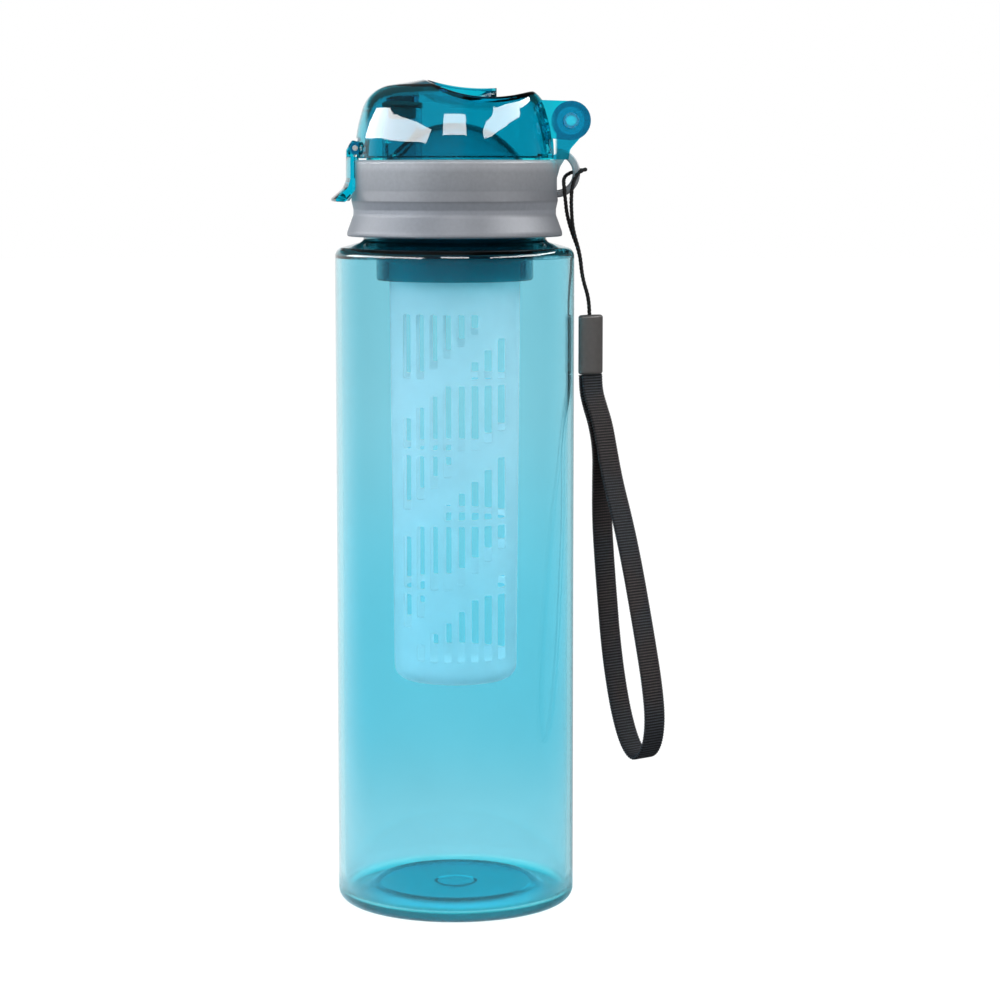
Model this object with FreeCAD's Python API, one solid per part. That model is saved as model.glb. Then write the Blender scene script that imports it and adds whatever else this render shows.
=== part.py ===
import FreeCAD, Part
import math
import os

# Drinking bottle with a fruit infuser, a screw cap with a flip lid, and a wrist strap.
# Millimetres. The base stands on z = 0, the bottle's axis is Z, the hinge is at +X and the latch at -X.

V = FreeCAD.Vector
UP = V(0, 0, 1)
ACROSS = V(0, 1, 0)

# Bottle
body_radius = 36.0
body_wall = 1.8
body_height = 198.6  # base to the outer edge of the shoulder
shoulder_rise = 2.4
shoulder_edge_radius = 2.8
foot_radius = 3.2  # rounding of the base edge
floor_thickness = 2.6
dish_radius = 28.0  # raised middle of the base
dish_depth = 2.6
dish_slope = 4.6
dish_rounding = 3.0
gate_radius = 5.7
gate_height = 0.8
neck_radius = 26.4
neck_wall = 2.0
neck_height = 19.5
bead_overhang = 1.1
bead_height = 2.0

# Screw cap: clear core with a deck, dome and spout inside a grey grip collar
seal_thickness = 1.6
seal_width = 2.7
thread_room = 1.3  # between the neck and the core's skirt
skirt_wall = 1.4
skirt_lift = 1.2  # from the neck bead to the skirt
deck_thickness = 2.4
dome_seat = 0.75  # dome's foot outside the spigot's bore
dome_rise = 12.0
dome_wall = 1.6
spout_inset = 5.3  # spout's axis inside the dome's foot
spout_radius = 6.0
spout_bore = 4.3
spout_height = 16.7  # above the deck
deck_rim_wall = 1.2
deck_rim_cover = 0.6  # deck rim above the lid's edge
deck_rim_room = 1.3  # between the deck rim and the lid's wall, for the lid's swing
collar_wall = 1.5
collar_drop = 22.0  # deck top to the collar's lower edge
collar_lip = 0.7  # collar top above the deck
collar_flare = 1.6
collar_bead = 0.28  # swelling above the waist
collar_waist = 0.3  # drawn in between the bead and the flare
waist_height = 7.2  # above the collar's lower edge
assembly_gap = 0.1  # between pieces that are pushed together
fit_gap = 0.35  # between pieces that move past each other

# Lid hinge
hinge_reach = 4.0  # hinge axis outside the collar
hinge_rise = 12.3  # hinge axis above the deck
barrel_radius = 5.8
knuckle_width = 11.4
ear_thickness = 4.0
ear_recess_radius = 4.2
ear_recess_depth = 1.2
ear_foot_height = 2.2
hinge_pin_radius = 1.5
pin_head_radius = 2.3
pin_head_height = 0.7
running_gap = 0.06

# Flip lid
lid_inset = 0.9  # lid wall inside the collar's outer radius
lid_gap = 0.5  # lid edge above the collar
lid_height = 24.9  # to the crown's apex, which the dip takes away
lid_wall = 2.0
lid_taper = 4.1
side_lean = 0.15  # of the wall's lower part
side_bend = 7.5  # above the lid's edge, where the wall turns in
side_swell = 40.0
crown_radius = 10.0
crown_fall = 4.25  # apex to the crown's edge
dip_offset = 10.6
dip_depth = 7.2
dip_radius = 36.0
dip_edge_radius = 1.4
pad_offset = 2.3
pad_length = 20.6
pad_width = 14.0
pad_rise = 2.9  # lowest point of the pad's top above the dip
pad_low = 8.0  # where that point is
pad_curve = 50.0
pad_rim = 1.3
pad_dish = 0.7
boss_radius = 5.0
boss_bore = 3.2
plug_radius = 6.3
plug_thickness = 1.8
plug_stem = 2.4

# Front latch
latch_width = 22.0
latch_gap = 0.4
latch_thickness = 1.5
latch_length = 12.9  # below the lid's edge
latch_flare = 6.2
latch_neck_width = 12.8
latch_bead = 0.25
latch_pivot_rise = 3.0
latch_knuckle_radius = 1.9
latch_lug_radius = 2.0
latch_lug_width = 2.5
latch_pin_radius = 0.8
catch_groove = 0.5

# Carry loop on the collar
loop_radius = 6.2  # middle of the band
loop_band = 2.2
loop_width = 3.6
loop_edge = 0.5
loop_drop = 3.2  # loop centre below the deck

# Infuser
ring_clearance = 0.75  # between the carrier ring and the neck
ring_wall = 1.7
ring_reach = 32.7  # deck underside to the ring's lower edge
spigot_wall = 1.6
spigot_length = 8.0
web_rise = 9.5  # carrier web above the ring's lower edge
web_thickness = 1.8
tube_inset = 4.0  # between the inner tube and the basket's bore
tube_wall = 1.5
tube_drop = 1.8  # inner tube below the ring's lower edge
basket_length = 130.4
rim_step = 1.9  # basket's rim outside its wall
basket_taper = 1.1
basket_wall = 1.5
basket_edge_radius = 4.5
basket_rim_height = 3.0
slot_width = 2.3
slot_corner = 0.6
field_margin = 5.7  # basket's wall outside the outermost slots
slot_columns = 8
field_top = 16.0  # plain wall below the basket's rim
field_bottom = 7.5
band_count = 3
band_width = 8.0
band_slope = 0.85
bar_pitch = 21.0
bar_width = 1.8
least_slot = 3.5

# Wrist strap
cord_radius = 0.6
cord_step = 0.8  # half the distance between the two strands
stopper_gap = 1.2  # between the stopper and the bottle's wall
stopper_length = 17.9
stopper_drop = 45.7  # deck top to the stopper's top
stopper_wide = 4.4
stopper_deep = 2.4
stopper_edge = 0.8
strap_width = 8.0
strap_thickness = 1.1
strap_turn = -51.0  # degrees from +X to the way the strap's loop spreads

# Heights and radii that follow
neck_root = body_height + shoulder_rise
neck_top = neck_root + neck_height
bore_radius = neck_radius - neck_wall
bead_radius = neck_radius + bead_overhang
deck_under = neck_top + seal_thickness
deck_top = deck_under + deck_thickness
skirt_inner = neck_radius + thread_room
skirt_outer = skirt_inner + skirt_wall
skirt_bottom = neck_root + bead_height + skirt_lift
collar_inner = skirt_outer + assembly_gap
collar_radius = collar_inner + collar_wall
collar_top = deck_top + collar_lip
collar_bottom = deck_top - collar_drop
spout_top = deck_top + spout_height
hinge_x = collar_radius + hinge_reach
hinge_z = deck_top + hinge_rise
ear_inner_y = knuckle_width / 2 + fit_gap
ear_outer_y = ear_inner_y + ear_thickness
foot_top = deck_top + ear_foot_height
lid_radius = collar_radius - lid_inset
lid_bottom = collar_top + lid_gap
lid_top = lid_bottom + lid_height
dip_z = lid_top - dip_depth
pivot_x = -(lid_radius - 0.4)
pivot_z = lid_bottom + latch_pivot_rise
latch_inner = collar_radius + latch_gap
latch_outer = latch_inner + latch_thickness
notch_half = latch_neck_width / 2 + fit_gap
loop_x = collar_radius - 0.4
loop_z = deck_top - loop_drop
ring_radius = bore_radius - ring_clearance
ring_inner = ring_radius - ring_wall
ring_bottom = deck_under - ring_reach
spigot_outer = ring_inner - assembly_gap
spigot_inner = spigot_outer - spigot_wall
dome_radius = spigot_inner + dome_seat
spout_offset = dome_radius - spout_inset
web_bottom = ring_bottom + web_rise
rim_radius = ring_inner - fit_gap
basket_radius = rim_radius - rim_step
tube_radius = basket_radius - basket_wall - tube_inset
slot_pitch = 2 * (basket_radius - field_margin) / (slot_columns - 1)
basket_top = web_bottom - fit_gap
basket_bottom = basket_top - basket_length
stopper_x = body_radius + stopper_gap + 3.75
stopper_top = deck_top - stopper_drop
stopper_bottom = stopper_top - stopper_length


def rounded_edges(points, radii, closed):
    """Straight runs between the points, joined by tangent arcs of the given radii."""
    count = len(points)
    ends = []
    for i, point in enumerate(points):
        if radii[i] > 0 and (closed or 0 < i < count - 1):
            a = (points[i - 1] - point).normalize()
            b = (points[(i + 1) % count] - point).normalize()
            half = a.getAngle(b) / 2
            middle = (a + b).normalize()
            run = radii[i] / math.tan(half)
            centre = point + middle * (radii[i] / math.sin(half))
            ends.append((point + a * run, centre - middle * radii[i], point + b * run))
        else:
            ends.append((point, None, point))
    edges = []
    for i in range(count if closed else count - 1):
        here = ends[i]
        there = ends[(i + 1) % count]
        if here[1] is not None:
            edges.append(Part.Arc(*here).toShape())
        if (there[0] - here[2]).Length > 1e-6:
            edges.append(Part.LineSegment(here[2], there[0]).toShape())
    return edges


def outline(corners, y=0.0):
    """Closed face in the XZ plane from corners (x, z) or (x, z, rounding)."""
    points = [V(c[0], y, c[1]) for c in corners]
    radii = [c[2] if len(c) > 2 else 0 for c in corners]
    return Part.Face(Part.Wire(rounded_edges(points, radii, True)))


def spun(corners):
    """Solid of revolution about the bottle's axis."""
    return outline(corners).revolve(V(), UP, 360)


def plate(corners, y0, y1):
    """Outline in the XZ plane, extruded from y0 to y1."""
    return outline(corners, y0).extrude(V(0, y1 - y0, 0))


def rod(x, z, radius, y0, y1):
    """Round bar along Y."""
    return Part.makeCylinder(radius, y1 - y0, V(x, y0, z), ACROSS)


def disc(radius, z0, z1, x=0.0):
    """Upright cylinder."""
    return Part.makeCylinder(radius, z1 - z0, V(x, 0, z0))


def block(x0, x1, y0, y1, z0, z1):
    return Part.makeBox(x1 - x0, y1 - y0, z1 - z0, V(x0, y0, z0))


def joined(shapes):
    return shapes[0].multiFuse(shapes[1:]).removeSplitter()


def save(shape, name):
    solids = shape.Solids
    assert len(solids) == 1 and solids[0].isValid(), name
    solids[0].exportStep("parts/" + name + ".step")
    print(name, round(solids[0].Volume, 1))


def bottle_body():
    """Blown bottle: raised base with a moulding gate, straight wall, flat shoulder and screw neck."""
    slope = shoulder_rise / (body_radius - bead_radius)
    inner = body_radius - body_wall
    thick = body_wall * math.hypot(1, slope)
    under = [
        (0, dish_depth - gate_height),
        (gate_radius, dish_depth - gate_height, 0.3),
        (gate_radius + gate_height, dish_depth, 0.3),
        (dish_radius - dish_slope, dish_depth, dish_rounding),
        (dish_radius, 0, 0.8),
    ]
    outside = [
        (body_radius, 0, foot_radius),
        (body_radius, body_height, shoulder_edge_radius),
        (bead_radius, neck_root, 1.4),
        (bead_radius, neck_root + bead_height, 0.5),
        (neck_radius, neck_root + bead_height + 0.7, 0.4),
        (neck_radius, neck_top, 0.6),
    ]
    inside = [
        (bore_radius, neck_top, 0.6),
        (bore_radius, neck_root + (bead_radius - bore_radius) * slope - thick, 1.2),
        (inner, body_height + body_wall * slope - thick, 1.6),
        (inner, floor_thickness, foot_radius * 0.7),
        (dish_radius + 1.2, floor_thickness, 1.0),
        (dish_radius - dish_slope + 1.2, floor_thickness + dish_depth, dish_rounding),
        (0, floor_thickness + dish_depth),
    ]
    return spun(under + outside + inside)


def neck_gasket():
    """Flat silicone ring between the neck's rim and the deck."""
    inner = bore_radius + 0.1
    return spun(
        [
            (inner, neck_top, 0.3),
            (inner + seal_width, neck_top, 0.3),
            (inner + seal_width, deck_under, 0.3),
            (inner, deck_under, 0.3),
        ]
    )


def dome(radius, rise, thickness):
    """Spherical cap that stands on the deck's underside."""
    ball = (radius * radius + rise * rise) / (2 * rise)
    centre = V(0, 0, deck_top + rise - ball)
    cap = Part.makeSphere(ball - thickness, centre)
    return cap.common(disc(2 * ball, deck_under, deck_top + rise + 1))


def hinge_ear(y0, y1):
    """Side plate of the hinge: round head, slanting back and a foot over the collar."""
    inner = lid_radius + 0.6
    back = collar_radius + 3.2
    root = skirt_outer - 3.0
    foot = collar_top + assembly_gap
    web = plate(
        [
            (root, deck_top - 0.5),
            (skirt_outer, deck_top - 0.5),
            (skirt_outer, foot),
            (back, foot, 0.4),
            (back + 0.5, foot + 3.0, 2.0),
            (hinge_x + barrel_radius * 0.94, hinge_z - barrel_radius * 0.34),
            (hinge_x, hinge_z),
            (inner, hinge_z - 2.5),
            (inner, foot_top, 0.8),
            (root, foot_top, 0.8),
        ],
        y0,
        y1,
    )
    over_collar = disc(2 * collar_radius, deck_top - 1, foot).cut(disc(skirt_outer, deck_top - 1, foot))
    return web.cut(over_collar).fuse(rod(hinge_x, hinge_z, barrel_radius, y0, y1))


def cap_core():
    """Clear inner cap: skirt, rimmed deck, dome, drinking spout, infuser spigot and hinge ears."""
    shell = spun(
        [
            (spigot_inner, deck_under - spigot_length, 0.4),
            (spigot_outer, deck_under - spigot_length, 0.4),
            (spigot_outer, deck_under),
            (skirt_inner, deck_under, 0.6),
            (skirt_inner, skirt_bottom, 0.4),
            (skirt_outer, skirt_bottom, 0.4),
            (skirt_outer, deck_top, 0.4),
            (spigot_inner - 2.0, deck_top),
            (spigot_inner - 2.0, deck_under),
            (spigot_inner, deck_under),
        ]
    )
    rim_outer = lid_radius - lid_wall - deck_rim_room
    rim = spun(
        [
            (rim_outer - deck_rim_wall, deck_top - 0.5),
            (rim_outer, deck_top - 0.5),
            (rim_outer, lid_bottom + deck_rim_cover, 0.4),
            (rim_outer - deck_rim_wall, lid_bottom + deck_rim_cover, 0.4),
        ]
    )
    hollow = dome(dome_radius, dome_rise, dome_wall)
    spout = disc(spout_radius, deck_under, spout_top, -spout_offset)
    spout = spout.makeFillet(0.8, [spout.Edges[0]])
    ears = [hinge_ear(ear_inner_y, ear_outer_y), hinge_ear(-ear_outer_y, -ear_inner_y)]
    core = joined([shell, rim, dome(dome_radius, dome_rise, 0), spout] + ears)
    core = core.cut(hollow.cut(spout))
    core = core.cut(disc(spout_bore, deck_under - 1, spout_top + 1, -spout_offset))
    core = core.cut(rod(hinge_x, hinge_z, hinge_pin_radius, -ear_outer_y - 1, ear_outer_y + 1))
    floor = ear_outer_y - ear_recess_depth
    core = core.cut(rod(hinge_x, hinge_z, ear_recess_radius, floor, ear_outer_y + 1))
    return core.cut(rod(hinge_x, hinge_z, ear_recess_radius, -ear_outer_y - 1, -floor))


def grip_collar():
    """Grey sleeve round the core: rounded top, soft bead, waist, flared lower edge and a latch groove."""
    waist = collar_bottom + waist_height
    waist_radius = collar_radius - collar_waist
    sleeve = spun(
        [
            (collar_inner, collar_top, 0.3),
            (collar_radius, collar_top, 1.1),
            (collar_radius, waist + 6.4, 6.0),
            (collar_radius + collar_bead, waist + 3.4, 1.0),
            (waist_radius, waist + 0.8, 2.0),
            (waist_radius, waist - 0.8, 3.0),
            (collar_radius + collar_flare, collar_bottom + 1.2, 3.0),
            (collar_radius + collar_flare, collar_bottom, 0.5),
            (collar_inner + collar_flare * 0.8, collar_bottom, 0.3),
            (collar_inner, skirt_bottom + 4.0, 1.0),
        ]
    )
    catch = rod(-collar_radius, pivot_z - 10.5, catch_groove, -latch_width / 2, latch_width / 2)
    return sleeve.cut(catch)


def carry_loop():
    """Grey half ring on the collar, under the hinge, that takes the strap's cord."""
    outer = loop_radius + loop_band / 2
    inner = loop_radius - loop_band / 2
    half = loop_width / 2
    ring = rod(loop_x, loop_z, outer, -half, half).cut(rod(loop_x, loop_z, inner, -half, half))
    keep = lid_radius + 0.6
    ring = ring.common(block(keep, loop_x + 2 * outer, -half, half, loop_z - outer, loop_z + outer))
    ring = ring.makeFillet(loop_edge, [e for e in ring.Edges if rim_edge(e)])
    high = loop_z + inner
    gusset = plate(
        [
            (keep, collar_top + assembly_gap),
            (keep, high + 1.2),
            (loop_x + 2.6, high + 1.0),
            (loop_x + 2.9, high - 0.6, 0.5),
            (collar_radius + 0.9, high - 3.2, 2.5),
            (collar_radius, high - 6.4),
            (collar_radius - 1.0, collar_top + assembly_gap),
        ],
        -half,
        half,
    )
    loop = ring.fuse(gusset).removeSplitter()
    return loop.cut(disc(collar_inner, collar_bottom, collar_top)).cut(grip_collar())


def rim_edge(edge):
    """Round edges of the loop's band."""
    curve = edge.Curve
    if not isinstance(curve, Part.Circle):
        return False
    return curve.Radius > loop_radius - loop_band and abs(curve.Axis.y) > 0.9


def infuser_ring():
    """Dark carrier ring: sleeve on the core's spigot, web and inner tube over the basket's mouth."""
    top = deck_under - assembly_gap
    return spun(
        [
            (ring_inner, ring_bottom, 0.5),
            (ring_radius, ring_bottom, 0.6),
            (ring_radius, top, 0.4),
            (ring_inner, top, 0.4),
            (ring_inner, web_bottom + web_thickness, 0.6),
            (tube_radius - tube_wall, web_bottom + web_thickness, 0.6),
            (tube_radius - tube_wall, ring_bottom - tube_drop, 0.4),
            (tube_radius, ring_bottom - tube_drop, 0.4),
            (tube_radius, web_bottom, 0.6),
            (ring_inner, web_bottom, 0.6),
        ]
    )


def slot_spans(x):
    """Open stretches of one slot column, between the slanting bands and the level bars."""
    low = basket_bottom + field_bottom
    high = basket_top - field_top
    bands = [(low - 1.0, low), (high, high + 1.0)]
    for i in range(-1, band_count + 1):
        middle = low + (high - low) * (i + 0.5) / band_count + band_slope * x
        bands.append((middle - band_width / 2, middle + band_width / 2))
    level = low + bar_pitch
    while level < high:
        bands.append((level - bar_width / 2, level + bar_width / 2))
        level += bar_pitch
    spans = []
    start = low
    for bottom, top in sorted(bands):
        if min(bottom, high) - start >= least_slot:
            spans.append((start, min(bottom, high)))
        start = max(start, top)
    return spans


def infuser_basket():
    """Frosted basket: flanged rim, tapered wall with upright slots cut straight through front and back."""
    foot = basket_radius - basket_taper
    inner_floor = basket_bottom + basket_wall
    shell = spun(
        [
            (0, basket_bottom),
            (foot, basket_bottom, basket_edge_radius),
            (basket_radius, ring_bottom - 1.0),
            (basket_radius, basket_top - basket_rim_height - 1.0, 0.6),
            (rim_radius, basket_top - basket_rim_height, 0.5),
            (rim_radius, basket_top, 0.5),
            (basket_radius - basket_wall, basket_top, 0.4),
            (basket_radius - basket_wall, ring_bottom - 1.0),
            (foot - basket_wall, inner_floor, basket_edge_radius - basket_wall),
            (0, inner_floor),
        ]
    )
    cuts = []
    for i in range(slot_columns):
        x = (i - (slot_columns - 1) / 2) * slot_pitch
        for low, high in slot_spans(x):
            corners = [
                (x - slot_width / 2, low, slot_corner),
                (x + slot_width / 2, low, slot_corner),
                (x + slot_width / 2, high, slot_corner),
                (x - slot_width / 2, high, slot_corner),
            ]
            cuts.append(plate(corners, -basket_radius - 1, basket_radius + 1))
    return shell.cut(cuts)


def lid_form(inset, drop):
    """Lid's domed form with the finger dip, moved in by inset."""
    side = lid_radius - inset
    crown = side - lid_taper
    top = lid_top - inset
    dome_form = spun(
        [
            (0, lid_bottom - drop),
            (side, lid_bottom - drop),
            (side - side_lean, lid_bottom + side_bend, side_swell - inset),
            (crown, top - crown_fall, crown_radius - inset),
            (0, top),
        ]
    )
    dip = rod(dip_offset, dip_z + dip_radius, dip_radius + inset, -2 * lid_radius, 2 * lid_radius)
    return dome_form.cut(dip)


def thumb_pad():
    """Oval pad that rises from the dip, hollowed along the lid, with a shallow dish inside its rim."""
    def oval(shrink):
        ring = Part.Ellipse(V(), pad_length / 2 - shrink, pad_width / 2 - shrink).toShape()
        face = Part.Face(Part.Wire([ring]))
        face.translate(V(pad_offset, 0, dip_z))
        return face.extrude(V(0, 0, lid_top - dip_z))

    def hollow(drop):
        return rod(pad_low, dip_z + pad_rise - drop + pad_curve, pad_curve, -lid_radius, lid_radius)

    return oval(0).cut(hollow(0)).cut(oval(pad_rim).common(hollow(pad_dish)))


def flip_lid():
    """Clear hinged lid: domed shell with a finger dip, hinge arm, latch lugs and the plug's boss."""
    body = lid_form(0, 0)
    dip_faces = [f for f in body.Faces if isinstance(f.Surface, Part.Cylinder)]
    body = body.makeFillet(dip_edge_radius, dip_faces[0].Edges)
    half = knuckle_width / 2
    arm = plate(
        [
            (lid_radius - lid_taper - 2.0, hinge_z - barrel_radius + 1.0),
            (hinge_x, hinge_z - barrel_radius),
            (hinge_x, hinge_z + barrel_radius),
            (lid_radius - lid_taper - 2.0, hinge_z + barrel_radius + 0.4),
        ],
        -half,
        half,
    )
    barrel = rod(hinge_x, hinge_z, barrel_radius, -half, half)
    lug_end = notch_half + latch_lug_width
    lugs = [
        rod(pivot_x, pivot_z, latch_lug_radius, notch_half, lug_end),
        rod(pivot_x, pivot_z, latch_lug_radius, -lug_end, -notch_half),
    ]
    lid = joined([body, thumb_pad(), arm, barrel] + lugs)
    cavity = lid_form(lid_wall, 1.0)
    plug_top = spout_top + fit_gap + plug_thickness
    boss = disc(boss_radius, plug_top, lid_top, -spout_offset).common(cavity)
    lid = lid.cut(cavity.cut(boss))
    lid = lid.cut(disc(boss_bore, plug_top - 1, plug_top + plug_stem + assembly_gap, -spout_offset))
    reach = 2 * lid_radius
    notch_top = pivot_z + latch_knuckle_radius + 1.0
    window = block(-reach, -lid_radius / 2, -notch_half, notch_half, lid_bottom - 1, notch_top)
    cuts = [window]
    for side in (-1, 1):
        y0, y1 = sorted((side * (ear_inner_y - fit_gap), side * (ear_outer_y + fit_gap)))
        cuts.append(block(lid_radius / 2, reach, y0, y1, lid_bottom - 1, foot_top + fit_gap))
    cuts.append(rod(hinge_x, hinge_z, hinge_pin_radius + running_gap, -half - 1, half + 1))
    cuts.append(rod(pivot_x, pivot_z, latch_pin_radius, -lug_end - 1, lug_end + 1))
    return lid.cut(cuts)


def spout_plug():
    """Silicone plug pushed into the lid's boss, over the spout."""
    bottom = spout_top + fit_gap
    plug = disc(plug_radius, bottom, bottom + plug_thickness, -spout_offset)
    plug = plug.makeFillet(0.5, [plug.Edges[0], plug.Edges[2]])
    stem_top = bottom + plug_thickness + plug_stem
    return plug.fuse(disc(boss_bore - assembly_gap, bottom + 0.5, stem_top, -spout_offset)).removeSplitter()


def hinge_pin():
    """Moulded pin with a low head at each end, seated in the ears' recesses."""
    floor = ear_outer_y - ear_recess_depth
    pin = rod(hinge_x, hinge_z, hinge_pin_radius, -floor, floor)
    heads = [
        rod(hinge_x, hinge_z, pin_head_radius, floor, floor + pin_head_height),
        rod(hinge_x, hinge_z, pin_head_radius, -floor - pin_head_height, -floor),
    ]
    return joined([pin] + heads)


def latch_sector(corners, width):
    """Part of a ring round the bottle's axis, centred on -X."""
    angle = math.degrees(2 * math.asin(width / 2 / latch_outer))
    face = outline(corners)
    face.rotate(V(), UP, 180 - angle / 2)
    return face.revolve(V(), UP, angle)


def front_latch():
    """Clear clip hinged on the lid: neck, curved plate against the collar and a finger lip."""
    tip = lid_bottom - latch_length
    shoulder = lid_bottom + 0.5
    lip = latch_inner + latch_flare
    wide = latch_sector(
        [
            (latch_inner, shoulder, 0.3),
            (latch_inner, tip + 3.6, 1.2),
            (latch_inner + 3.2, tip, 0.5),
            (lip - 0.3, tip + 0.1, 0.4),
            (lip - 0.1, tip + 0.9, 0.4),
            (latch_outer + 1.0, tip + 4.0, 2.5),
            (latch_outer, tip + 6.6, 2.5),
            (latch_outer, shoulder, 0.4),
        ],
        latch_width,
    )
    neck_top_z = pivot_z + latch_knuckle_radius + 0.4
    neck = latch_sector(
        [
            (latch_inner, shoulder - 1.0),
            (latch_outer, shoulder - 1.0),
            (latch_outer, pivot_z - 0.6, 1.2),
            (latch_inner - 0.2, neck_top_z, 0.5),
            (-pivot_x + 0.2, neck_top_z - 0.2, 0.4),
            (-pivot_x, pivot_z, 0),
        ],
        latch_neck_width - 1.0,
    )
    half = latch_neck_width / 2
    knuckle = rod(pivot_x, pivot_z, latch_knuckle_radius, -half, half)
    bead = rod(-latch_inner - 0.2, pivot_z - 10.5, latch_bead + 0.2, -half, half)
    latch = joined([wide, neck, knuckle, bead])
    return latch.cut(rod(pivot_x, pivot_z, latch_pin_radius + running_gap, -half - 1, half + 1))


def latch_pin():
    """Thin steel pin through the lid's lugs."""
    end = notch_half + latch_lug_width
    return rod(pivot_x, pivot_z, latch_pin_radius, -end, end)


def cord_route():
    """Both strands of the cord: up before the carry loop, once round its outer band and down through it."""
    x = loop_x
    z = loop_z
    nub = loop_radius + loop_band / 2 + 2.7 * cord_radius
    front = loop_width / 2 + cord_radius + 0.4
    side = cord_step
    rise = [
        V(stopper_x - 0.4, -side, stopper_top),
        V(stopper_x - 0.4, -side, stopper_top + 4.5),
        V(body_radius + 2.4, -side, stopper_top + 11.0),
        V(body_radius + 1.6, -side, body_height - 1.0),
        V(x + 5.2, -side - 0.3, body_height + 5.5),
        V(x + 4.7, -front + 0.9, z - 11.2),
        V(x + 4.6, -front, z - 7.0),
        V(x + 5.0, -front, z - 3.4),
        V(x + 6.1, -front, z - 0.6),
        V(x + nub - 1.3, -front + 0.5, z + 0.7),
        V(x + nub, -1.3, z + 1.1),
        V(x + nub, 1.3, z + 1.0),
    ]
    fall = [
        V(x + 7.0, front + 0.1, z + 0.8),
        V(x + 5.0, front + 0.1, z + 0.3),
        V(x + 3.2, front - 1.1, z - 0.6),
        V(x + 2.4, -0.4, z - 1.8),
        V(x + 2.4, -front + 0.4, z - 3.2),
        V(x + 2.6, -front, z - 5.6),
        V(x + 2.9, -front + 0.2, z - 8.2),
        V(x + 3.3, -1.0, z - 12.0),
        V(x + 4.7, side - 0.3, body_height + 5.5),
        V(body_radius + 1.6, side, body_height - 1.0),
        V(body_radius + 2.4, side, stopper_top + 11.0),
        V(stopper_x - 0.4, side, stopper_top + 4.5),
        V(stopper_x - 0.4, side, stopper_top),
    ]
    return rise + fall


def corner_radii(points, name):
    """Radius at each point of a route: as large as the two runs beside it allow."""
    radii = [0]
    for before, point, after in zip(points, points[1:], points[2:]):
        a = point - before
        b = after - point
        turn = a.getAngle(b)
        radii.append(0.45 * min(a.Length, b.Length) / math.tan(turn / 2))
    print(name, "radii", [round(r, 1) for r in radii[1:]])
    return radii + [0]


def wrist_cord():
    """Thin cord, doubled between the stopper and the carry loop."""
    points = cord_route()
    path = Part.Wire(rounded_edges(points, corner_radii(points, "cord"), False))
    start = (points[1] - points[0]).normalize()
    section = Part.Wire([Part.Circle(points[0], start, cord_radius).toShape()])
    tube = path.makePipeShell([section], True, False)
    length = path.Length
    swept = math.pi * cord_radius**2 * length
    print("cord length", round(length, 1), "section times length", round(swept, 1))
    return tube


def strap_route():
    """Middle of the strap's loop in its own plane: across from the stopper, height over its end."""
    ply = strap_thickness / 2 + 0.2
    left = [
        (-ply, 0.0),
        (-ply, -4.4),
        (1.7 - ply, -9.4),
        (4.5 - ply, -15.0),
        (6.4 - ply, -22.5),
        (6.3 - ply, -31.5),
        (5.5, -43.0),
        (6.7, -55.5),
        (8.2, -68.0),
        (9.8, -80.5),
        (12.2, -92.5),
        (15.4, -103.5),
        (19.4, -111.5),
    ]
    right = [
        (24.2, -114.6),
        (28.6, -110.8),
        (30.2, -102.0),
        (28.6, -91.0),
        (25.6, -79.0),
        (22.4, -67.0),
        (19.0, -55.0),
        (15.0, -43.0),
        (10.6, -32.0),
        (7.2 + ply, -23.0),
        (4.9 + ply, -14.6),
        (2.0 + ply, -8.8),
        (ply, -4.2),
        (ply, 0.0),
    ]
    return [V(s, 0, z) for s, z in left + right]


def wrist_strap():
    """Flat webbing folded into a hand loop, both ends under the stopper."""
    points = strap_route()
    radii = corner_radii(points, "strap")
    half = strap_thickness / 2
    sides = []
    for shift in (half, -half):
        edges = []
        for edge in rounded_edges(points, radii, False):
            first, last = edge.ParameterRange
            middle = (first + last) / 2
            moved = [edge.valueAt(t) + edge.tangentAt(t).cross(ACROSS) * shift for t in (first, middle, last)]
            straight = isinstance(edge.Curve, Part.Line)
            edges.append(Part.LineSegment(moved[0], moved[2]) if straight else Part.Arc(*moved))
        sides.append([e.toShape() for e in edges])
    ends = []
    for at in (0, -1):
        a = sides[0][at].Vertexes[at].Point
        b = sides[1][at].Vertexes[at].Point
        ends.append(Part.LineSegment(V(*a), V(*b)).toShape())
    wire = Part.Wire(Part.__sortEdges__(sides[0] + sides[1] + ends))
    strap = Part.Face(wire).extrude(V(0, strap_width, 0))
    strap.translate(V(0, -strap_width / 2, stopper_bottom))
    strap.rotate(V(), UP, strap_turn)
    strap.translate(V(stopper_x, 0, 0))
    length = sum(e.Length for e in rounded_edges(points, radii, False))
    swept = strap_width * strap_thickness * length
    print("strap length", round(length, 1), "section times length", round(swept, 1))
    return strap


def cord_stopper():
    """Pressed oval tube that joins the cord to the strap."""
    ring = Part.Ellipse(V(), stopper_wide, stopper_deep).toShape()
    tube = Part.Face(Part.Wire([ring])).extrude(V(0, 0, stopper_length))
    tube = tube.makeFillet(stopper_edge, [e for e in tube.Edges if isinstance(e.Curve, Part.Ellipse)])
    tube.rotate(V(), UP, strap_turn + 90)
    tube.translate(V(stopper_x, 0, stopper_bottom))
    return tube


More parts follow.
